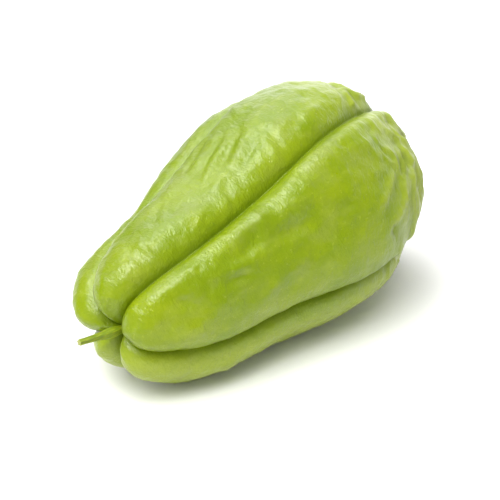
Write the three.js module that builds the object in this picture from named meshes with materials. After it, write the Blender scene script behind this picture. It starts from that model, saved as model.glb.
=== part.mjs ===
// Chayote squash lying on its side: one pear-shaped fruit with five lobes, and the short stem in its pit.
// Millimetres, +Z up. +X runs from the stem end to the blossom end, and the fruit lies on z = 0.
import * as THREE from "three";

// Size of the fruit
const BODY_LENGTH = 147;
const STEM_END_BLUNTNESS = 2.7;
const BLOSSOM_END_BLUNTNESS = 2.5;

// Where the whole object's middle lies, seen from above, off the middle of the fruit's axis
const MIDDLE = { x: -4.5, y: 3.6 };

// Places along the axis, from -1 at the stem end to 1 at the blossom end. The lists below have one value
// for each of them.
const STATIONS = [-1, -0.6, -0.2, 0.25, 0.65, 1];
const AXIS_HEIGHT = [28, 29, 32, 37, 39, 39];

// The five lobes, going round the axis. Angles are degrees from the front, -Y, up over +Z.
// crest: radius of the lobe before its furrows are cut. furrow: angle of the furrow in front of the lobe.
// valley and crease: depth of that furrow's broad part and of its sharp fold.
// reach: how far the lobe's blossom end goes, as a share of half the body length.
const LOBES = [
  {
    name: "front",
    crest: [28, 30, 34, 42, 44, 38],
    reach: 1,
    furrow: [-20, -20, -14.5, -18, -20, -20],
    valley: [4.5, 4, 3.6, 3.2, 3.6, 5],
    crease: [2.5, 2.5, 2.2, 2.2, 2.5, 4],
  },
  {
    name: "top",
    crest: [30, 33, 38, 48, 48, 38],
    reach: 0.79,
    furrow: [73, 66.5, 66.5, 67.8, 70.5, 70],
    valley: [4.5, 4, 3.6, 3.2, 3.2, 4],
    crease: [2.5, 2.5, 2.2, 2.2, 2.2, 2.5],
  },
  {
    name: "back",
    crest: [31, 36, 41.5, 50, 47, 40],
    reach: 0.97,
    furrow: [144, 142, 134, 126, 124, 122],
    valley: [4.5, 4, 3.6, 3.2, 3.6, 5],
    crease: [2.5, 2.5, 2.2, 2.2, 2.5, 4],
  },
  {
    name: "back underside",
    crest: [29, 30, 31, 38, 39, 34],
    reach: 1,
    furrow: [204, 204, 202, 200, 198, 198],
    valley: [4.5, 4, 3.6, 3.2, 3.6, 5],
    crease: [2.5, 2.5, 2.2, 2.2, 2.5, 4],
  },
  {
    name: "front underside",
    crest: [27.5, 30.5, 33.5, 40, 42, 36],
    reach: 0.99,
    furrow: [268, 268, 268, 268, 268, 268],
    valley: [4.5, 4, 3.6, 3.2, 3.6, 5],
    crease: [2.5, 2.5, 2.2, 2.2, 2.5, 4],
  },
];
const VALLEY_HALF_WIDTH = 17;
const CREASE_HALF_WIDTH = 2.2;
// A high power lets the deeper of two furrows win where they run together at the ends
const FURROW_MEETING_POWER = 4;
const PIT_DEPTH = 5;
const PIT_RADIUS = 10;
// The longer reach of a lobe fades out within this radius, so that all lobes meet in one point
const REACH_FADE_RADIUS = 12;

// Swellings and hollows of the lobes: place along the axis, angle, length, width and height
const SWELLINGS = [
  { at: 0.82, angle: 68, length: 12, width: 9, height: 6.5 }, // shoulder of the front lobe's blossom end
  { at: 0.78, angle: 26, length: 14, width: 11, height: 1.2 }, // widest part of the front lobe
  { at: 0.68, angle: 86, length: 12, width: 12, height: 3.5 }, // top lobe beside the main furrow
  { at: 0.85, angle: 82, length: 8, width: 8, height: -2.5 }, // where the top lobe ends at the blossom end
  { at: -0.55, angle: 50, length: 24, width: 6, height: 1 }, // front lobe beside the main furrow, neck
  { at: -0.05, angle: 56, length: 26, width: 6, height: 1 }, // front lobe beside the main furrow, belly
  { at: -0.3, angle: 92, length: 16, width: 16, height: -1.5 }, // saddle of the top lobe
  { at: -0.78, angle: 176, length: 16, width: 16, height: 4 }, // cheek of the back lobe at the stem end
  { at: -0.1, angle: 318, length: 16, width: 16, height: -0.5 }, // waist of the front underside lobe
  { at: -0.54, angle: 275, length: 17, width: 8, height: 3.6 }, // what the neck rests on, in front
  { at: -0.54, angle: 252, length: 17, width: 10, height: 4.2 }, // what the neck rests on, at the back
  { at: 0.17, angle: 285, length: 24, width: 12, height: 0.6 }, // what the belly rests on, in front
  { at: 0.17, angle: 248, length: 24, width: 12, height: 2.2 }, // what the belly rests on, at the back
];

// Fineness of the solid
const RINGS = 54;
const COLUMNS_PER_LOBE = 16;
const FURROW_CROWDING = 0.55;

// Stem: its middle line off the axis at the stem end, and its radius along the way
const STEM_PATH = [
  new THREE.Vector3(-61.2, 0, 28),
  new THREE.Vector3(-66, 0.1, 28.3),
  new THREE.Vector3(-73.5, 0.6, 29.2),
  new THREE.Vector3(-81.8, 1.2, 30.4),
];
const STEM_RADII = [
  { at: 0, radius: 0.5 },
  { at: 0.15, radius: 1.1 },
  { at: 0.34, radius: 1.8 },
  { at: 0.62, radius: 1.15 },
  { at: 0.9, radius: 0.95 },
  { at: 1, radius: 1 },
];
const STEM_RIDGES = 5;
const STEM_RIDGE_HEIGHT = 0.14;
const STEM_RINGS = 20;
const STEM_SIDES = 20;

const skin = new THREE.MeshStandardMaterial({ color: 0xa9b93f, roughness: 0.4, metalness: 0 });
const stalk = new THREE.MeshStandardMaterial({ color: 0x9baf25, roughness: 0.7, metalness: 0 });

const radians = THREE.MathUtils.degToRad;
const half = BODY_LENGTH / 2;

// Smooth curve through values given at places along a line, read at one place
function along(places, values, x) {
  const last = places.length - 1;
  let i = 0;
  while (i < last - 1 && x >= places[i + 1]) i += 1;
  // Slope at a place: of the parabola through it and its two neighbours, or of the end stretch
  const slope = (k) => {
    if (k === 0) return (values[1] - values[0]) / (places[1] - places[0]);
    if (k === last) return (values[last] - values[last - 1]) / (places[last] - places[last - 1]);
    const before = places[k] - places[k - 1];
    const after = places[k + 1] - places[k];
    const rise = (values[k] - values[k - 1]) / before;
    const next = (values[k + 1] - values[k]) / after;
    return (rise * after + next * before) / (before + after);
  };
  const step = places[i + 1] - places[i];
  const t = (x - places[i]) / step;
  const t2 = t * t;
  const t3 = t2 * t;
  return (
    (2 * t3 - 3 * t2 + 1) * values[i] +
    (t3 - 2 * t2 + t) * step * slope(i) +
    (3 * t2 - 2 * t3) * values[i + 1] +
    (t3 - t2) * step * slope(i + 1)
  );
}

const onAxis = (values, x) => along(STATIONS, values, x);

// Ease from 0 to 1 with no kink and no jump in curvature at either end
const ease = (t) => t * t * t * (10 - 15 * t + 6 * t * t);

// How far the round ends have closed, from 1 along the body to 0 at the two ends
function closing(x) {
  const bluntness = x < 0 ? STEM_END_BLUNTNESS : BLOSSOM_END_BLUNTNESS;
  return Math.max(1 - Math.abs(x) ** bluntness, 0) ** (1 / bluntness);
}

const meanRadius = (x) =>
  (LOBES.reduce((sum, lobe) => sum + onAxis(lobe.crest, x), 0) / LOBES.length) * closing(x);

// Places along the axis for the rings, evenly spaced on the mean outline, with that outline's normal
function outlineSteps(count) {
  const fine = 4000;
  const places = [];
  const lengths = [0];
  for (let i = 0; i <= fine; i += 1) {
    const x = -Math.cos((Math.PI * i) / fine);
    places.push({ x, radius: meanRadius(x) });
    if (i > 0) {
      const before = places[i - 1];
      const step = Math.hypot((x - before.x) * half, places[i].radius - before.radius);
      lengths.push(lengths[i - 1] + step);
    }
  }
  const steps = [];
  let i = 1;
  for (let n = 0; n <= count; n += 1) {
    const want = (lengths[fine] * n) / count;
    while (i < fine && lengths[i] < want) i += 1;
    const share = (want - lengths[i - 1]) / (lengths[i] - lengths[i - 1]);
    const a = places[i - 1];
    const b = places[i];
    const length = Math.hypot((b.x - a.x) * half, b.radius - a.radius);
    steps.push({
      x: a.x + (b.x - a.x) * share,
      normal: { x: -(b.radius - a.radius) / length, out: ((b.x - a.x) * half) / length },
    });
  }
  steps[0].normal = { x: -1, out: 0 };
  steps[count].normal = { x: 1, out: 0 };
  return steps;
}

// Smallest turn from one angle to another, in radians, from -pi to pi
const turn = (from, to) => THREE.MathUtils.euclideanModulo(to - from + Math.PI, 2 * Math.PI) - Math.PI;

// Furrow angles at one place, and the angle of each lobe's middle. Both go once round, rising.
function layout(x) {
  const furrows = LOBES.map((lobe) => radians(onAxis(lobe.furrow, x)));
  const middles = furrows.map((angle, k) => {
    const next = k + 1 < furrows.length ? furrows[k + 1] : furrows[0] + 2 * Math.PI;
    return (angle + next) / 2;
  });
  return { furrows, middles };
}

// Value at an angle, eased from each lobe's middle to the next one's
function betweenLobes(values, middles, angle) {
  for (let k = 0; k < LOBES.length; k += 1) {
    const next = (k + 1) % LOBES.length;
    const span = THREE.MathUtils.euclideanModulo(middles[next] - middles[k], 2 * Math.PI);
    const past = THREE.MathUtils.euclideanModulo(angle - middles[k], 2 * Math.PI);
    if (past < span) return THREE.MathUtils.lerp(values[k], values[next], ease(past / span));
  }
  return values[0];
}

// How deep the furrows and the stem pit lie under the hull at one place
function furrowDepth(x, angle, radius, furrows) {
  let sum = 0;
  LOBES.forEach((lobe, k) => {
    const distance = Math.abs(turn(furrows[k], angle)) * radius;
    const valley = onAxis(lobe.valley, x) * Math.max(1 - distance / VALLEY_HALF_WIDTH, 0) ** 3;
    const crease = onAxis(lobe.crease, x) * Math.exp(-distance / CREASE_HALF_WIDTH);
    sum += (valley + crease) ** FURROW_MEETING_POWER;
  });
  const pit = x < 0 ? PIT_DEPTH * Math.exp(-((radius / PIT_RADIUS) ** 2)) : 0;
  return sum ** (1 / FURROW_MEETING_POWER) + pit;
}

function swelling(x, angle, radius) {
  let height = 0;
  for (const s of SWELLINGS) {
    const lengthwise = ((x - s.at) * half) / s.length;
    const across = (turn(radians(s.angle), angle) * radius) / s.width;
    height += s.height * Math.exp(-(lengthwise ** 2) - across ** 2);
  }
  return height;
}

// One point of the skin
function skinPoint({ x, normal }, angle, { furrows, middles }) {
  const crests = LOBES.map((lobe) => onAxis(lobe.crest, x));
  const hull = betweenLobes(crests, middles, angle) * closing(x);
  const sunk = furrowDepth(x, angle, hull, furrows) - swelling(x, angle, hull);
  const reaches = LOBES.map((lobe) => (x < 0 ? 1 : lobe.reach));
  const reach = betweenLobes(reaches, middles, angle);
  const stretch = 1 + (reach - 1) * Math.min(hull / REACH_FADE_RADIUS, 1) * x * x;
  const radius = Math.max(hull - sunk * normal.out, 0);
  const height = onAxis(AXIS_HEIGHT, x) + radius * Math.sin(angle);
  return new THREE.Vector3(
    x * half * stretch - sunk * normal.x,
    -radius * Math.cos(angle),
    Math.max(height, 0),
  );
}

// Angles of the columns at one place: one in each furrow, and more of them close to the furrows
function columnAngles(furrows) {
  const angles = [];
  furrows.forEach((from, k) => {
    const to = k + 1 < furrows.length ? furrows[k + 1] : furrows[0] + 2 * Math.PI;
    for (let c = 0; c < COLUMNS_PER_LOBE; c += 1) {
      const t = c / COLUMNS_PER_LOBE;
      const crowded = t - (FURROW_CROWDING * Math.sin(2 * Math.PI * t)) / (2 * Math.PI);
      angles.push(THREE.MathUtils.lerp(from, to, crowded));
    }
  });
  return angles;
}

// Closed mesh through rings of points, with the first and last ring being one point each. Seen along the
// way from the first ring to the last, the points of a ring go round anticlockwise.
function loft(rings) {
  const positions = [];
  const starts = rings.map((ring) => {
    const start = positions.length / 3;
    ring.forEach((point) => positions.push(point.x, point.y, point.z));
    return start;
  });
  const faces = [];
  for (let r = 0; r + 1 < rings.length; r += 1) {
    const a = starts[r];
    const b = starts[r + 1];
    const sides = Math.max(rings[r].length, rings[r + 1].length);
    for (let c = 0; c < sides; c += 1) {
      const d = (c + 1) % sides;
      if (rings[r].length === 1) faces.push(a, b + c, b + d);
      else if (rings[r + 1].length === 1) faces.push(a + c, b, a + d);
      else faces.push(a + c, b + d, a + d, a + c, b + c, b + d);
    }
  }
  const geometry = new THREE.BufferGeometry();
  geometry.setAttribute("position", new THREE.Float32BufferAttribute(positions, 3));
  geometry.setIndex(faces);
  geometry.computeVertexNormals();
  return geometry;
}

function fruit() {
  const steps = outlineSteps(RINGS);
  const rings = steps.map((step, n) => {
    const place = layout(step.x);
    const angles = n === 0 || n === RINGS ? [0] : columnAngles(place.furrows);
    return angles.map((angle) => skinPoint(step, angle, place));
  });
  const mesh = new THREE.Mesh(loft(rings), skin);
  mesh.name = "fruit";
  return mesh;
}

// The stem tapers from its swollen foot to a cut end that is a little wider, and is ribbed lengthwise
function stem() {
  const path = new THREE.CatmullRomCurve3(STEM_PATH);
  const places = STEM_RADII.map((knot) => knot.at);
  const radii = STEM_RADII.map((knot) => knot.radius);
  const rings = [[path.getPointAt(0)]];
  for (let n = 0; n <= STEM_RINGS; n += 1) {
    const t = n / STEM_RINGS;
    const centre = path.getPointAt(t);
    const forward = path.getTangentAt(t);
    const side = forward.clone().cross(new THREE.Vector3(0, 0, 1)).normalize();
    const up = side.clone().cross(forward);
    const ring = [];
    for (let c = 0; c < STEM_SIDES; c += 1) {
      const angle = (2 * Math.PI * c) / STEM_SIDES;
      const radius = along(places, radii, t) + STEM_RIDGE_HEIGHT * Math.cos(STEM_RIDGES * angle);
      ring.push(
        centre
          .clone()
          .addScaledVector(side, radius * Math.cos(angle))
          .addScaledVector(up, radius * Math.sin(angle)),
      );
    }
    rings.push(ring);
  }
  rings.push([path.getPointAt(1)]);
  const mesh = new THREE.Mesh(loft(rings), stalk);
  mesh.name = "stem";
  return mesh;
}

const group = new THREE.Group();
group.add(fruit());
group.add(stem());
group.position.set(-MIDDLE.x, -MIDDLE.y, 0);

export default group;
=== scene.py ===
import math

import bpy
import numpy as np
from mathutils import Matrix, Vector


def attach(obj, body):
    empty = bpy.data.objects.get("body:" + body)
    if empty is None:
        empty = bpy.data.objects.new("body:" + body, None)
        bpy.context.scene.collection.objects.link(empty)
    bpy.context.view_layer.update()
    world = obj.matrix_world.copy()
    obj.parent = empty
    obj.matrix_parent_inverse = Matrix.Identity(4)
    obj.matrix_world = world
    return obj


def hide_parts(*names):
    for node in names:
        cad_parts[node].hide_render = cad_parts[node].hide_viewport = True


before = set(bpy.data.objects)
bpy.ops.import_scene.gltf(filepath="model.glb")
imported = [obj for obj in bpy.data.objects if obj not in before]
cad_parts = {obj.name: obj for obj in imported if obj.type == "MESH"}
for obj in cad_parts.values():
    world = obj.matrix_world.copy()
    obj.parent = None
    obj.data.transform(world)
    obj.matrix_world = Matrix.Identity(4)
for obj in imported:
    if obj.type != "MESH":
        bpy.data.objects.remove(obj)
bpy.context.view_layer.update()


# The fruit: one grown body of firm flesh under a thin skin, pear-shaped, with five lobes that meet in
# furrows and a pit at the narrow end. It lies on its side. Its form is a hull over the five crests, closed
# by round ends, less the furrows and the pit, with swellings and folds on it. Sizes in millimetres.
MM = 0.001
BODY_LENGTH = 147.0
STEM_END_BLUNTNESS = 2.7
BLOSSOM_END_BLUNTNESS = 2.5
MIDDLE_X, MIDDLE_Y = -4.5, 3.6
# Places along the axis, from -1 at the stem end to 1 at the blossom end, where the sizes below are given
STATIONS = (-1, -0.6, -0.2, 0.25, 0.65, 1)
AXIS_HEIGHT = (28, 29, 32, 37, 39, 39)
# The lobes in order round the axis, the height of each crest over the axis, and how far each one reaches
# towards the blossom end
LOBES = ("front", "top", "back", "back underside", "front underside")
CREST = (
    (28, 30, 34, 42, 44, 38),
    (30, 33, 38, 48, 48, 38),
    (31, 36, 41.5, 50, 47, 40),
    (29, 30, 31, 38, 39, 34),
    (27.5, 30.5, 33.5, 40, 42, 36),
)
REACH = (1, 0.79, 0.97, 1, 0.99)
# The furrow in front of each lobe: its angle in degrees, counted from the front up over the top, and the
# depth of its broad valley and of its sharp crease
FURROW = (
    (-20, -20, -14.5, -18, -20, -20),
    (73, 66.5, 66.5, 67.8, 70.5, 70),
    (144, 142, 134, 126, 124, 122),
    (204, 204, 202, 200, 198, 198),
    (268, 268, 268, 268, 268, 268),
)
SIDE_VALLEY = (4.5, 4, 3.6, 3.2, 3.6, 5)
TOP_VALLEY = (4.5, 4, 3.6, 3.2, 3.2, 4)
VALLEY = (SIDE_VALLEY, TOP_VALLEY, SIDE_VALLEY, SIDE_VALLEY, SIDE_VALLEY)
SIDE_CREASE = (2.5, 2.5, 2.2, 2.2, 2.5, 4)
TOP_CREASE = (2.5, 2.5, 2.2, 2.2, 2.2, 2.5)
CREASE = (SIDE_CREASE, TOP_CREASE, SIDE_CREASE, SIDE_CREASE, SIDE_CREASE)
VALLEY_HALF_WIDTH = 17.0
CREASE_HALF_WIDTH = 2.2
FURROW_MEETING_POWER = 4
FURROW_SHADE_WIDTH = 3.0
PIT_DEPTH = 5.0
PIT_RADIUS = 10.0
REACH_FADE_RADIUS = 12.0
OUTLINE_STEPS = 4001
RINGS = 300
COLUMNS_PER_LOBE = 62
FURROW_CROWDING = 0.55

# Each swelling, fold or dent: place along the axis, angle, direction off the axis, half length, half
# width and height. Angles are in degrees.
SWELLINGS = (
    (0.82, 68, 0, 12, 9, 6.5),
    (0.78, 26, 0, 14, 11, 1.2),
    (0.68, 86, 0, 12, 12, 3.5),
    (0.85, 82, 0, 8, 8, -2.5),
    (-0.55, 50, 0, 24, 6, 1.0),
    (-0.05, 56, 0, 26, 6, 1.0),
    (-0.3, 92, 0, 16, 16, -1.5),
    (-0.78, 176, 0, 16, 16, 4.0),
    (-0.1, 318, 0, 16, 16, -0.5),
    (-0.54, 275, 0, 17, 8, 3.6),
    (-0.54, 252, 0, 17, 10, 4.2),
    (0.17, 285, 0, 24, 12, 0.6),
    (0.17, 248, 0, 24, 12, 2.2),
    (0.6, 13, 0, 14, 12, -0.8),
    (-0.13, 145, 0, 13, 14, 0.9),
    (-0.42, 145, 0, 9, 14, -0.9),
    (-0.5, 315, 0, 8, 7, 0.8),
    (-0.09, 49, 0, 12, 6, 1.5),
    (-0.26, 56, 90, 6, 2.6, 0.8),
    (0.56, 88, 0, 8, 8, -1.1),
    (0.615, 79.5, 0, 5, 5, 0.6),
)
TOP_LOBE_FOLDS = (
    (-0.14, 102, 13, 9, 1.7, 0.75),
    (-0.19, 111, 0, 6, 1.6, 0.65),
    (-0.16, 106, 12, 7, 1.5, -0.7),
    (-0.12, 117, 6, 8, 1.6, -0.6),
    (-0.10, 124, -4, 7, 1.8, 0.6),
    (-0.08, 92, 13, 8, 1.9, 0.6),
    (-0.11, 97, 13, 8, 1.5, -0.7),
    (-0.07, 86, 10, 6, 1.6, -0.5),
    (-0.10, 78, -16, 6, 1.8, 0.5),
    (0.0, 77, 88, 5, 1.8, 0.45),
    (0.04, 82, 75, 5, 1.6, -0.4),
    (-0.31, 76, 73, 3.5, 1.4, 0.5),
    (-0.28, 78, 73, 4, 1.4, -0.4),
    (-0.47, 77, 28, 3, 1.4, 0.4),
    (-0.75, 86, 88, 5, 1.2, -0.5),
    (-0.78, 86, 88, 5, 1.1, -0.5),
    (-0.72, 88, 80, 5, 1.2, 0.4),
    (0.35, 89, 0, 2, 2.0, -0.7),
    (0.19, 80, 90, 3, 1.5, -0.5),
    (0.62, 78, 84, 7, 3.0, -0.4),
    (-0.455, 100, -44, 10, 8, -0.8),
)
FRONT_LOBE_FOLDS = (
    (-0.15, 38, -10, 7, 2.8, -1.1),
    (-0.15, 33, -10, 7, 2.5, 0.6),
    (-0.33, 36, -5, 7, 2.6, 0.9),
    (-0.35, 45, 8, 7, 3.2, -1.2),
    (-0.49, 32, -14, 5, 2.2, -1.4),
    (-0.48, 37, 0, 5, 2.4, 0.8),
    (-0.73, 34, -42, 4.5, 1.8, -0.8),
    (-0.22, 9, -10, 4, 2.2, -0.8),
    (-0.35, 13, 17, 9, 3.0, 0.8),
    (-0.71, 11, 23, 9, 3.5, 0.8),
    (0.46, 62, 5, 14, 2.4, 0.8),
    (0.38, 53, -9, 8, 2.0, 0.6),
)
BLOSSOM_END_FOLDS = (
    (0.70, 56, 90, 4.5, 1.4, 0.8),
    (0.68, 45, 63, 5, 1.4, 0.9),
    (0.67, 36, 103, 4, 1.4, 0.8),
    (0.47, 33, 35, 6, 1.6, 0.6),
    (0.57, 25, 27, 6, 1.5, 0.9),
    (0.51, 18, 31, 6, 1.5, 1.0),
    (0.41, 13, 25, 5, 1.5, 0.9),
    (0.36, 25, 31, 5, 1.6, 0.7),
    (0.57, 76, 88, 4, 1.6, 0.7),
    (0.65, 75, -53, 4, 2.0, 0.5),
    (0.51, 29, 35, 7, 1.4, -0.9),
    (0.40, 7, 110, 3.5, 1.3, -0.9),
    (0.69, 59, 67, 2.5, 1.3, -1.5),
    (0.76, 47, 66, 2, 1.2, -1.2),
    (0.63, 38, -74, 3, 1.3, -1.2),
)
UNDERSIDE_FOLDS = (
    (-0.13, 342, -53, 5, 1.8, -0.8),
    (-0.96, 317, 28, 4, 1.2, -0.5),
)
# The flank of the top lobe, where the skin is streaked, and the brow above the front furrow, where it is
# more wrinkled. Both are given as folds are.
FLANK = (-0.12, 104, 0, 28, 17, 1.0)
BROW = (-0.05, 58, 0, 50, 8, 1.0)
# How low on the body the painted reflection of the white table, paler underneath, begins, as a sine of the
# angle, and how softly
UNDERSIDE_BEGINS = -0.42
UNDERSIDE_SOFTNESS = 0.08


def on_axis(values, place):
    """Smooth curve through the values at the stations."""
    knots = np.array(STATIONS, float)
    values = np.array(values, float)
    slopes = np.gradient(values, knots)
    i = np.clip(np.searchsorted(knots, place, side="right") - 1, 0, len(knots) - 2)
    step = knots[i + 1] - knots[i]
    t = (place - knots[i]) / step
    start = (2 * t**3 - 3 * t**2 + 1) * values[i] + (t**3 - 2 * t**2 + t) * step * slopes[i]
    end = (3 * t**2 - 2 * t**3) * values[i + 1] + (t**3 - t**2) * step * slopes[i + 1]
    return start + end


def closing(place):
    """How far the round ends have closed, from 1 along the body to 0 at both ends."""
    bluntness = np.where(place < 0, STEM_END_BLUNTNESS, BLOSSOM_END_BLUNTNESS)
    return np.maximum(1 - np.abs(place) ** bluntness, 0) ** (1 / bluntness)


def ring_places(count):
    """Places for the rings, evenly spaced along the mean outline, and that outline's normal."""
    place = -np.cos(np.linspace(0, math.pi, OUTLINE_STEPS))
    radius = np.mean([on_axis(crest, place) for crest in CREST], axis=0) * closing(place)
    across = place * BODY_LENGTH / 2
    length = np.concatenate([[0], np.cumsum(np.hypot(np.diff(across), np.diff(radius)))])
    wanted = np.linspace(0, length[-1], count)
    rise = np.gradient(np.interp(wanted, length, radius))
    run = np.gradient(np.interp(wanted, length, across))
    size = np.hypot(rise, run)
    normal_x, normal_out = -rise / size, run / size
    normal_x[[0, -1]] = -1, 1
    normal_out[[0, -1]] = 0
    return np.interp(wanted, length, place), normal_x, normal_out


def between_lobes(values, middles, angle):
    """Values of the lobes, eased round the axis from each lobe's middle to the next one's."""
    result = np.zeros_like(angle)
    for k in range(len(LOBES)):
        following = (k + 1) % len(LOBES)
        span = np.mod(middles[following] - middles[k], 2 * math.pi)
        past = np.mod(angle - middles[k], 2 * math.pi)
        t = np.clip(past / span, 0, 1)
        eased = t**3 * (10 - 15 * t + 6 * t * t)
        blend = values[k] + (values[following] - values[k]) * eased
        result = np.where(past <= span + 1e-9, blend, result)
    return result


def turn(start, end):
    """Smallest turn between two angles, from -pi to pi."""
    return np.mod(end - start + math.pi, 2 * math.pi) - math.pi


def fold_height(folds, place, angle, radius):
    """Height of the folds over the plain form, each of them a long soft mound or hollow."""
    total = np.zeros_like(angle)
    for at, degrees, direction, half_length, half_width, height in folds:
        lengthwise = (place - at) * BODY_LENGTH / 2
        round_axis = turn(math.radians(degrees), angle) * radius
        cosine, sine = math.cos(math.radians(direction)), math.sin(math.radians(direction))
        down = (lengthwise * cosine + round_axis * sine) / half_length
        across = (round_axis * cosine - lengthwise * sine) / half_width
        total += height * np.exp(-(down**2) - across**2)
    return total


def fruit_points():
    """Points of the skin, ring by ring from the stem end, and the marks that its finish follows."""
    place, normal_x, normal_out = ring_places(RINGS + 1)
    furrows = [np.radians(on_axis(row, place)) for row in FURROW]
    ends = furrows[1:] + [furrows[0] + 2 * math.pi]
    middles = [((a + b) / 2)[:, None] for a, b in zip(furrows, ends)]
    t = np.arange(COLUMNS_PER_LOBE) / COLUMNS_PER_LOBE
    crowded = t - FURROW_CROWDING * np.sin(2 * math.pi * t) / (2 * math.pi)
    angle = np.hstack([a[:, None] + (b - a)[:, None] * crowded for a, b in zip(furrows, ends)])
    place = np.repeat(place[:, None], angle.shape[1], axis=1)
    normal_x, normal_out = normal_x[:, None], normal_out[:, None]

    crests = [on_axis(crest, place) for crest in CREST]
    hull = between_lobes(crests, middles, angle) * closing(place)
    depths = np.zeros_like(hull)
    nearness = np.zeros_like(hull)
    for k in range(len(LOBES)):
        distance = np.abs(turn(furrows[k][:, None], angle)) * hull
        valley = on_axis(VALLEY[k], place) * np.maximum(1 - distance / VALLEY_HALF_WIDTH, 0) ** 3
        crease = on_axis(CREASE[k], place) * np.exp(-distance / CREASE_HALF_WIDTH)
        depths += (valley + crease) ** FURROW_MEETING_POWER
        nearness = np.maximum(nearness, np.exp(-distance / FURROW_SHADE_WIDTH))
    pit = np.where(place < 0, np.exp(-((hull / PIT_RADIUS) ** 2)), 0)
    sunk = depths ** (1 / FURROW_MEETING_POWER) + PIT_DEPTH * pit
    folds = SWELLINGS + TOP_LOBE_FOLDS + FRONT_LOBE_FOLDS + BLOSSOM_END_FOLDS + UNDERSIDE_FOLDS
    sunk -= fold_height(folds, place, angle, hull)

    reaches = [np.where(place < 0, 1, reach) for reach in REACH]
    reach = between_lobes(reaches, middles, angle)
    stretch = 1 + (reach - 1) * np.minimum(hull / REACH_FADE_RADIUS, 1) * place**2
    radius = np.maximum(hull - sunk * normal_out, 0)
    x = place * BODY_LENGTH / 2 * stretch - sunk * normal_x
    y = -radius * np.cos(angle)
    z = on_axis(AXIS_HEIGHT, place) + radius * np.sin(angle)
    points = np.stack([x - MIDDLE_X, y - MIDDLE_Y, np.maximum(z, 0)], axis=-1) * MM
    marks = {
        "place": place,
        "furrow": nearness,
        "pit": pit,
        "flank": fold_height((FLANK,), place, angle, hull),
        "brow": fold_height((BROW,), place, angle, hull),
        "gather": np.clip(fold_height(BLOSSOM_END_FOLDS, place, angle, hull), 0, 1),
        # Where the skin is painted paler underneath, as a reflection of the white table
        "underside": 0.5 - 0.5 * np.tanh((np.sin(angle) - UNDERSIDE_BEGINS) / UNDERSIDE_SOFTNESS),
    }
    return points, marks


def grid_mesh(name, points, attributes):
    """Closed mesh through rings of points. The first and the last ring are each one point."""
    rings, sides = points.shape[:2]
    inner = points[1:-1].reshape(-1, 3)
    vertices = np.vstack([points[:1, 0], inner, points[-1:, 0]])
    last = len(vertices) - 1
    faces = []
    for c in range(sides):
        d = (c + 1) % sides
        faces.append((0, 1 + c, 1 + d))
        faces.append((last - sides + d, last - sides + c, last))
        for r in range(rings - 3):
            a = 1 + r * sides
            b = a + sides
            faces.append((a + d, a + c, b + c, b + d))
    mesh = bpy.data.meshes.new(name)
    mesh.from_pydata(vertices.tolist(), [], faces)
    for key, values in attributes.items():
        flat = np.concatenate([values[:1, 0], values[1:-1].ravel(), values[-1:, 0]])
        mesh.attributes.new(key, "FLOAT", "POINT").data.foreach_set("value", flat)
    mesh.shade_smooth()
    mesh.update()
    return mesh


def add_object(name, data):
    added = bpy.data.objects.new(name, data)
    bpy.context.collection.objects.link(added)
    return added


points, marks = fruit_points()
fruit = add_object("fruit_skin", grid_mesh("fruit_skin", points, marks))


class Value:
    """A socket of a node tree. Sums on it add Math nodes to the tree."""

    def __init__(self, tree, socket):
        self.tree = tree
        self.socket = socket

    def math(self, operation, first, second=0.0):
        return self.tree.node("ShaderNodeMath", {"operation": operation}, {0: first, 1: second})

    def __add__(self, other):
        return self.math("ADD", self, other)

    def __radd__(self, other):
        return self.math("ADD", other, self)

    def __sub__(self, other):
        return self.math("SUBTRACT", self, other)

    def __rsub__(self, other):
        return self.math("SUBTRACT", other, self)

    def __mul__(self, other):
        return self.math("MULTIPLY", self, other)

    def __rmul__(self, other):
        return self.math("MULTIPLY", other, self)

    def __truediv__(self, other):
        return self.math("DIVIDE", self, other)

    def __rtruediv__(self, other):
        return self.math("DIVIDE", other, self)

    def __pow__(self, other):
        return self.math("POWER", self, other)

    def __rpow__(self, other):
        return self.math("POWER", other, self)

    def __abs__(self):
        return self.math("ABSOLUTE", self)

    def at_least(self, other):
        return self.math("MAXIMUM", self, other)


class Tree:
    """A node tree, built node by node."""

    def __init__(self, tree):
        self.nodes = tree.nodes
        self.links = tree.links

    def node(self, kind, settings=None, values=None, output=0):
        """Adds a node with its settings, fills or links its sockets, and gives one of its outputs."""
        node = self.nodes.new(kind)
        for key, setting in (settings or {}).items():
            setattr(node, key, setting)
        for key, value in (values or {}).items():
            if isinstance(value, Value):
                self.links.new(value.socket, node.inputs[key])
            else:
                node.inputs[key].default_value = value
        return Value(self, node.outputs[output]) if node.outputs else None

    def between(self, value, low, high):
        """Eases from 0 to 1 as the value goes from low to high."""
        limits = {"Value": value, "From Min": low, "From Max": high}
        return self.node("ShaderNodeMapRange", {"interpolation_type": "SMOOTHSTEP"}, limits)

    def noise(self, vector, seed, detail, roughness, distortion):
        """Noise from 0 to 1 with features one unit in size."""
        values = {
            "Vector": vector,
            "W": seed,
            "Scale": 1.0,
            "Detail": detail,
            "Roughness": roughness,
            "Distortion": distortion,
        }
        return self.node("ShaderNodeTexNoise", {"noise_dimensions": "4D"}, values)


# The relief of the skin: broad unevenness, dents, wrinkles that run round the lobes, streaks along the
# flank, and sharp folds that gather the skin towards the blossom end. It follows the surface, as
# displacement along the normals, and fades out in the furrows.
RELIEF_SIZES = {
    "Swell Height": 0.9 * MM,
    "Swell Size": 24 * MM,
    "Dent Height": 1.1 * MM,
    "Dent Size": 9 * MM,
    "Wrinkle Height": 0.3 * MM,
    "Wrinkle Size": 4.5 * MM,
    "Streak Height": 0.4 * MM,
    "Streak Size": 2.4 * MM,
    "Fold Height": 1.8 * MM,
    "Fold Size": 13 * MM,
    "Seed": 3.7,
}
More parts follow.
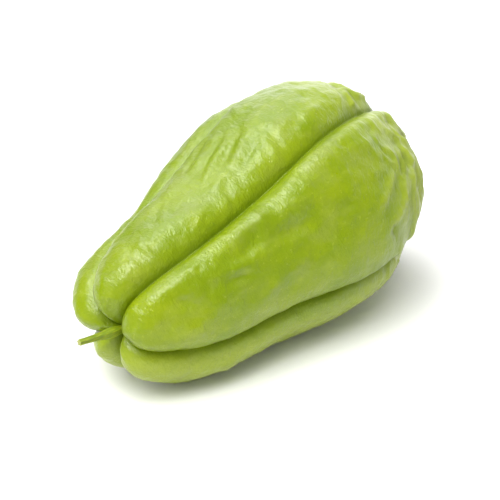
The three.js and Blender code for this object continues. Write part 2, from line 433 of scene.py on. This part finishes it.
# A stretch above 1 shortens the features of a noise along that axis
ROUNDISH = (0.8, 1.1, 1.1)
ROUND_THE_LOBES = (1.5, 0.6, 0.6)
ALONG_THE_FRUIT = (0.35, 1.4, 1.4)
FOLDS_FROM, FOLDS_FULL_AT = 0.25, 0.7
FOLD_SHARPNESS = 2.5
FOLD_FOOT = 0.35
# The relief never goes below the table. The corner is a metre off to the sides, so only its height counts.
TABLE_CORNER = (-1.0, -1.0, 0.0)

relief = bpy.data.node_groups.new("skin relief", "GeometryNodeTree")
relief.interface.new_socket("Geometry", in_out="INPUT", socket_type="NodeSocketGeometry")
relief.interface.new_socket("Skin", in_out="INPUT", socket_type="NodeSocketMaterial")
for name, size in RELIEF_SIZES.items():
    socket = relief.interface.new_socket(name, in_out="INPUT", socket_type="NodeSocketFloat")
    socket.default_value = size
relief.interface.new_socket("Geometry", in_out="OUTPUT", socket_type="NodeSocketGeometry")
relief_tree = Tree(relief)
position = relief_tree.node("GeometryNodeInputPosition")
normal = relief_tree.node("GeometryNodeInputNormal")


def given(name):
    """One of the named inputs of the relief."""
    return relief_tree.node("NodeGroupInput", output=name)


def surface_mark(name):
    return relief_tree.node("GeometryNodeInputNamedAttribute", {"data_type": "FLOAT"}, {"Name": name})


def unevenness(name, stretch, distortion, seed_step):
    """Noise on the surface with features of the named size, from about -0.6 to 0.6."""
    scaled = {0: position, "Scale": 1.0 / given(f"{name} Size")}
    even = relief_tree.node("ShaderNodeVectorMath", {"operation": "SCALE"}, scaled)
    vector = relief_tree.node("ShaderNodeVectorMath", {"operation": "MULTIPLY"}, {0: even, 1: stretch})
    seed = given("Seed") + seed_step
    return (relief_tree.noise(vector, seed, detail=1.0, roughness=0.5, distortion=distortion) - 0.5) * 2


swell = unevenness("Swell", ROUNDISH, distortion=0.0, seed_step=0.0) * given("Swell Height")
dent = unevenness("Dent", ROUNDISH, distortion=0.4, seed_step=10.0) * given("Dent Height")
wrinkle = unevenness("Wrinkle", ROUND_THE_LOBES, distortion=0.6, seed_step=20.0) * given("Wrinkle Height")
wrinkle = wrinkle * (1 + surface_mark("brow"))
streak = unevenness("Streak", ALONG_THE_FRUIT, distortion=0.8, seed_step=40.0) * given("Streak Height")
streak = streak * surface_mark("flank")
ridge = abs(unevenness("Fold", ROUND_THE_LOBES, distortion=0.8, seed_step=30.0))
crest = (1 - ridge * FOLD_SHARPNESS).at_least(0) ** 2
near_blossom = relief_tree.between(surface_mark("place"), FOLDS_FROM, FOLDS_FULL_AT)
fold = (crest - FOLD_FOOT) * given("Fold Height") * near_blossom
out_of_furrow = 1 - surface_mark("furrow")
height = (swell + dent + wrinkle + streak + fold) * out_of_furrow
offset = relief_tree.node("ShaderNodeVectorMath", {"operation": "SCALE"}, {0: normal, "Scale": height})
marked = relief_tree.node(
    "GeometryNodeStoreNamedAttribute",
    {"data_type": "FLOAT", "domain": "POINT"},
    {"Geometry": given("Geometry"), "Name": "fold", "Value": crest * near_blossom * out_of_furrow},
)
raised = relief_tree.node("GeometryNodeSetPosition", None, {"Geometry": marked, "Offset": offset})
higher_of = {0: position, 1: TABLE_CORNER}
above_table = relief_tree.node("ShaderNodeVectorMath", {"operation": "MAXIMUM"}, higher_of)
resting = relief_tree.node("GeometryNodeSetPosition", None, {"Geometry": raised, "Position": above_table})
real = relief_tree.node("GeometryNodeRealizeInstances", None, {"Geometry": resting})
finished = relief_tree.node("GeometryNodeSetMaterial", None, {"Geometry": real, "Material": given("Skin")})
relief_tree.node("NodeGroupOutput", None, {"Geometry": finished})


# The finish of the skin: satin and a little waxy, light green with deeper mottling, flecks and scattered
# pores. It is darker in the furrows and the pit, a painted shade, and paler underneath, a painted reflection
# of the white table. It is paler on the folds, lighter and yellower at the stem end as painted light, and
# paler at the blossom end, partly its own paler skin and partly a painted reflection of the white wall
# behind.
DEEP_GREEN = (0.154, 0.226, 0.002, 1)
LIGHT_GREEN = (0.207, 0.276, 0.004, 1)
PALE_GREEN = (0.3, 0.365, 0.03, 1)
HAZY_GREEN = (0.215, 0.26, 0.045, 1)
PAINTED_SHADE_GREEN = (0.13, 0.2, 0.001, 1)
STEM_END_PAINTED_LIGHT_GREEN = (0.25, 0.29, 0.001, 1)
BLOSSOM_END_PALE_AND_SHEEN_GREEN = (0.31, 0.35, 0.11, 1)
SKIN_ROUGHNESS, RIPPLE_ROUGHNESS = 0.25, 0.1
# The fine relief, and the shares of it that ripples, crinkles and pores have
FINE_RELIEF = 0.7 * MM
RIPPLE_SHARE, CRINKLE_SHARE, PORE_SHARE = 0.42, 0.34, 0.08


class Finish(Tree):
    """A material and its node tree."""

    def __init__(self, name):
        self.material = bpy.data.materials.new(name)
        self.material.use_nodes = True
        self.material.node_tree.nodes.clear()
        super().__init__(self.material.node_tree)

    def mark(self, name):
        return self.node("ShaderNodeAttribute", {"attribute_name": name}, output="Fac")

    def blend(self, amount, first, second):
        """Colour between two colours."""
        return self.node("ShaderNodeMix", {"data_type": "RGBA"}, {0: amount, 6: first, 7: second}, output=2)

    def grain(self, size, stretch, detail, roughness, seed, distortion=0.0):
        """Noise with features of one size, in metres, stretched along the fruit or round it."""
        place = self.node("ShaderNodeTexCoord", output="Object")
        scale = tuple(share / size for share in stretch)
        vector = self.node("ShaderNodeVectorMath", {"operation": "MULTIPLY"}, {0: place, 1: scale})
        return self.noise(vector, seed, detail, roughness, distortion)

    def surface(self, shader):
        self.node("ShaderNodeOutputMaterial", None, {"Surface": shader})


skin = Finish("chayote_skin")
patches = skin.between(skin.grain(16 * MM, (0.7, 1, 1), detail=4.0, roughness=0.6, seed=1.3), 0.38, 0.66)
hazy = skin.between(skin.grain(11 * MM, (0.8, 1.1, 1.1), detail=3.0, roughness=0.6, seed=12.4), 0.5, 0.66)
streaks = skin.between(skin.grain(5 * MM, (0.5, 1.3, 1.3), detail=3.0, roughness=0.6, seed=5.1), 0.5, 0.75)
flecks = skin.between(skin.grain(0.9 * MM, (0.7, 1, 1), detail=2.0, roughness=0.6, seed=15.5), 0.45, 0.7)
pores = skin.between(skin.grain(1.1 * MM, (1, 1, 1), detail=1.0, roughness=0.4, seed=8.2), 0.66, 0.74)
stem_end = skin.between(skin.mark("place"), -0.55, -0.85)
blossom_end = skin.between(skin.mark("place"), 0.42, 0.72)
# The layers of colour over the mottled ground: where each lies, how strong it is at most, and its colour
layers = (
    (hazy, 0.4, HAZY_GREEN),
    (skin.mark("flank"), 0.5, DEEP_GREEN),
    # Paler underneath: a painted reflection of the white table
    (skin.mark("underside"), 0.65, PALE_GREEN),
    # Lighter and yellower at the stem end: painted light on the stem-end lobes
    (stem_end, 0.22, STEM_END_PAINTED_LIGHT_GREEN),
    # Paler at the blossom end: partly its own paler skin, partly a painted reflection of the white wall
    # behind
    (blossom_end, 0.4, BLOSSOM_END_PALE_AND_SHEEN_GREEN),
    (streaks, 0.3, PALE_GREEN),
    (flecks, 0.3, DEEP_GREEN),
    (pores, 0.35, PALE_GREEN),
    # Darker in the furrows and the pit: painted shade
    (skin.mark("furrow") ** 1.5, 0.6, PAINTED_SHADE_GREEN),
    (skin.mark("pit"), 0.5, PAINTED_SHADE_GREEN),
    (skin.mark("fold"), 0.6, PALE_GREEN),
    (skin.mark("gather"), 0.7, PALE_GREEN),
)
colour = skin.blend(patches, DEEP_GREEN, LIGHT_GREEN)
for where, strength, tint in layers:
    colour = skin.blend(where * strength, colour, tint)
ripples = skin.grain(2.6 * MM, (1.4, 0.7, 0.7), detail=2.0, roughness=0.5, seed=2.4, distortion=1.0)
crinkles = skin.grain(0.9 * MM, (1.3, 0.7, 0.7), detail=2.0, roughness=0.6, seed=6.6, distortion=0.8)
surface_height = ripples * RIPPLE_SHARE + crinkles * CRINKLE_SHARE - pores * PORE_SHARE
heights = {"Strength": 1.0, "Distance": FINE_RELIEF, "Height": surface_height}
shader = skin.node(
    "ShaderNodeBsdfPrincipled",
    {"subsurface_method": "RANDOM_WALK"},
    {
        "Base Color": colour,
        "Roughness": SKIN_ROUGHNESS + ripples * RIPPLE_ROUGHNESS,
        "Normal": skin.node("ShaderNodeBump", None, heights),
        "Subsurface Weight": 0.1,
        "Subsurface Radius": (1.0, 1.0, 0.25),
        "Subsurface Scale": 1.2 * MM,
        "IOR": 1.4,
    },
)
skin.surface(shader)

modifier = fruit.modifiers.new("skin relief", "NODES")
modifier.node_group = relief
socket_names = {item.name: item.identifier for item in relief.interface.items_tree if item.in_out == "INPUT"}
modifier[socket_names["Skin"]] = skin.material
evaluated = fruit.evaluated_get(bpy.context.evaluated_depsgraph_get())
finished_mesh = bpy.data.meshes.new_from_object(evaluated)
fruit.modifiers.remove(modifier)
fruit.data = finished_mesh
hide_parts("fruit")
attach(fruit, "root")


# The stem: a short dry green stalk, five-ribbed, swollen where it grips the bottom of the pit and cut
# across at its end. It is one fibrous piece, seated in the pit of the fruit. Sizes in millimetres.
STEM_PATH = ((-61.2, 0, 28), (-66, 0.1, 28.3), (-73.5, 0.6, 29.2), (-81.8, 1.2, 30.4))
STEM_RADIUS_AT = (0, 0.15, 0.34, 0.62, 0.9, 1)
STEM_RADIUS = (0.5, 1.1, 1.8, 1.15, 0.95, 1.0)
STEM_RIDGES = 5
STEM_RIDGE_HEIGHT = 0.16
# The fibres round the stem: how many, how high and how far turned
STEM_FIBRES = ((17, 0.03, 1.0), (29, 0.02, 2.0))
CUT_BEVEL = 0.6
STEM_RINGS = 120
STEM_SIDES = 80
PATH_SMOOTHING = 60
RADIUS_SMOOTHING = 30
FIBRE_GREEN = (0.14, 0.21, 0.001, 1)
FIBRE_YELLOW = (0.24, 0.29, 0.003, 1)
CUT_CREAM = (0.3, 0.32, 0.08, 1)
STEM_ROUGHNESS, FIBRE_ROUGHNESS = 0.45, 0.2
FIBRE_RELIEF = 0.15 * MM


def stem_points():
    """Points of the stem, ring by ring from its foot, and the marks that its finish follows."""
    path = np.array(STEM_PATH, float)
    knots = np.concatenate([[0], np.cumsum(np.linalg.norm(np.diff(path, axis=0), axis=1))])
    t = np.linspace(0, 1, STEM_RINGS)
    centre = np.stack([np.interp(t * knots[-1], knots, path[:, k]) for k in range(3)], axis=1)
    for _ in range(PATH_SMOOTHING):
        centre[1:-1] = (centre[:-2] + centre[2:]) / 2
    forward = np.gradient(centre, axis=0)
    forward /= np.linalg.norm(forward, axis=1, keepdims=True)
    side = np.cross(forward, (0, 0, 1))
    side /= np.linalg.norm(side, axis=1, keepdims=True)
    up = np.cross(side, forward)
    angle = np.linspace(0, 2 * math.pi, STEM_SIDES, endpoint=False)
    radius = np.interp(t, STEM_RADIUS_AT, STEM_RADIUS)
    for _ in range(RADIUS_SMOOTHING):
        radius[1:-1] = (radius[:-2] + 2 * radius[1:-1] + radius[2:]) / 4
    ribs = STEM_RIDGE_HEIGHT * np.cos(STEM_RIDGES * angle)
    fibres = sum(height * np.cos(count * angle + turned) for count, height, turned in STEM_FIBRES)
    reach = radius[:, None] + ribs + fibres
    around = side[:, None] * np.cos(angle)[:, None] + up[:, None] * np.sin(angle)[:, None]
    points = centre[:, None] + around * reach[..., None]
    first = np.repeat(centre[:1, None], STEM_SIDES, axis=1)
    last = np.repeat(centre[-1:, None], STEM_SIDES, axis=1)
    cut = last + (points[-1:] - last) * CUT_BEVEL
    points = np.concatenate([first, points, cut, last]) - (MIDDLE_X, MIDDLE_Y, 0)
    wide = np.ones((1, STEM_SIDES))
    marks = {
        "place": np.concatenate([[0], t, [1, 1]])[:, None] * wide,
        "cut": np.concatenate([[0], t * 0, [1, 1]])[:, None] * wide,
    }
    return points * MM, marks


points, marks = stem_points()
stem = add_object("stem_stalk", grid_mesh("stem_stalk", points, marks))
stalk = Finish("stem_fibre")
fibres = stalk.grain(0.5 * MM, (0.12, 1, 1), detail=4.0, roughness=0.6, seed=1.0)
colour = stalk.blend(stalk.between(fibres, 0.4, 0.65), FIBRE_GREEN, FIBRE_YELLOW)
# Darker at the foot, down in the pit: painted shade
colour = stalk.blend(stalk.between(stalk.mark("place"), 0.15, 0.0) * 0.7, colour, PAINTED_SHADE_GREEN)
colour = stalk.blend(stalk.mark("cut"), colour, CUT_CREAM)
heights = {"Strength": 0.5, "Distance": FIBRE_RELIEF, "Height": fibres}
shader = stalk.node(
    "ShaderNodeBsdfPrincipled",
    {"subsurface_method": "RANDOM_WALK"},
    {
        "Base Color": colour,
        "Roughness": STEM_ROUGHNESS + fibres * FIBRE_ROUGHNESS,
        "Normal": stalk.node("ShaderNodeBump", None, heights),
        "Subsurface Weight": 0.15,
        "Subsurface Radius": (1.0, 1.0, 0.3),
        "Subsurface Scale": 0.5 * MM,
    },
)
stalk.surface(shader)
stem.data.materials.append(stalk.material)
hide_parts("stem")
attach(stem, "root")


# The table: one plain matt white sheet, far larger than the fruit that lies on it. It is a hair lower than
# the fruit's resting spots, so that no two faces share a plane.
TABLE_SIZE = 60.0
TABLE_DROP = 0.1 * MM
TABLE_WHITE = (0.9, 0.9, 0.89, 1)
half = TABLE_SIZE / 2
corners = [(x, y, -TABLE_DROP) for x, y in ((-half, -half), (half, -half), (half, half), (-half, half))]
table_mesh = bpy.data.meshes.new("table")
table_mesh.from_pydata(corners, [], [(0, 1, 2, 3)])
paper = Finish("white_table")
paper.surface(paper.node("ShaderNodeBsdfDiffuse", None, {"Color": TABLE_WHITE}))
table_mesh.materials.append(paper.material)
table = add_object("table", table_mesh)


# The light of a white studio. A pale wall, a softbox and the hot centre of another show only in the sheen
# of the skin. Four soft panels only light it: two high over the stem end, one beside it and a dim one at
# the blossom end. The room is an even dim white.
AIM = Vector((3.5, -2.6, 32)) * MM
ROOM_STRENGTH = 0.42


def direction(azimuth, elevation):
    """Unit vector for a turn in degrees from the front towards the blossom end, and a height angle."""
    a, e = math.radians(azimuth), math.radians(elevation)
    return Vector((math.sin(a) * math.cos(e), -math.cos(a) * math.cos(e), math.sin(e)))


def face_the_fruit(thing, azimuth, elevation, distance):
    """Sets a light or the camera at a distance from the fruit and turns it towards the aim."""
    way = direction(azimuth, elevation)
    thing.location = AIM + way * distance
    thing.rotation_euler = way.to_track_quat("Z", "Y").to_euler()


def panel(name, azimuth, elevation, distance, width, height, radiance, mirrored=True, lighting=True):
    """Flat light that faces the aim, sized in metres. It can be unmirrored, or only be seen mirrored."""
    light = bpy.data.lights.new(name, "AREA")
    light.shape = "RECTANGLE"
    light.size = width
    light.size_y = height
    light.energy = radiance * math.pi * width * height
    lamp = add_object(name, light)
    lamp.visible_glossy = mirrored
    lamp.visible_diffuse = lighting
    face_the_fruit(lamp, azimuth, elevation, distance)


panel("white_wall_behind", 106, 15, 1.6, 3.2, 1.1, 2.9, lighting=False)
panel("softbox", 137, 49, 1.2, 1.8, 1.2, 1.9, lighting=False)
panel("softbox_hot_centre", -116, 66, 1.15, 1.3, 0.4, 15.0, lighting=False)
panel("soft_light", -150, 68, 1.5, 1.0, 1.0, 3.0, mirrored=False)
panel("overhead_light", -66, 66, 1.5, 1.1, 1.1, 7.2, mirrored=False)
panel("side_fill", -95, 40, 1.5, 0.9, 0.9, 3.4, mirrored=False)
panel("end_fill", 48, 17, 1.5, 0.8, 0.6, 1.2, mirrored=False)
world = bpy.data.worlds.new("white_room")
world.use_nodes = True
background = world.node_tree.nodes["Background"]
background.inputs["Color"].default_value = (1, 1, 1, 1)
background.inputs["Strength"].default_value = ROOM_STRENGTH
world.cycles_visibility.glossy = False
bpy.context.scene.world = world
bpy.context.scene.view_settings.view_transform = "Standard"


# The camera: a short telephoto, half a metre from the fruit, that looks down along it from the stem end.
CAMERA_AZIMUTH = -47.0
CAMERA_ELEVATION = 29.0
CAMERA_DISTANCE = 0.5
CAMERA_LENS = 100.0
CAMERA_SENSOR = 36.0
CAMERA_NEAREST = 10 * MM
camera_data = bpy.data.cameras.new("camera")
camera_data.lens = CAMERA_LENS
camera_data.sensor_width = CAMERA_SENSOR
camera_data.clip_start = CAMERA_NEAREST
camera = add_object("camera", camera_data)
face_the_fruit(camera, CAMERA_AZIMUTH, CAMERA_ELEVATION, CAMERA_DISTANCE)
bpy.context.scene.camera = camera
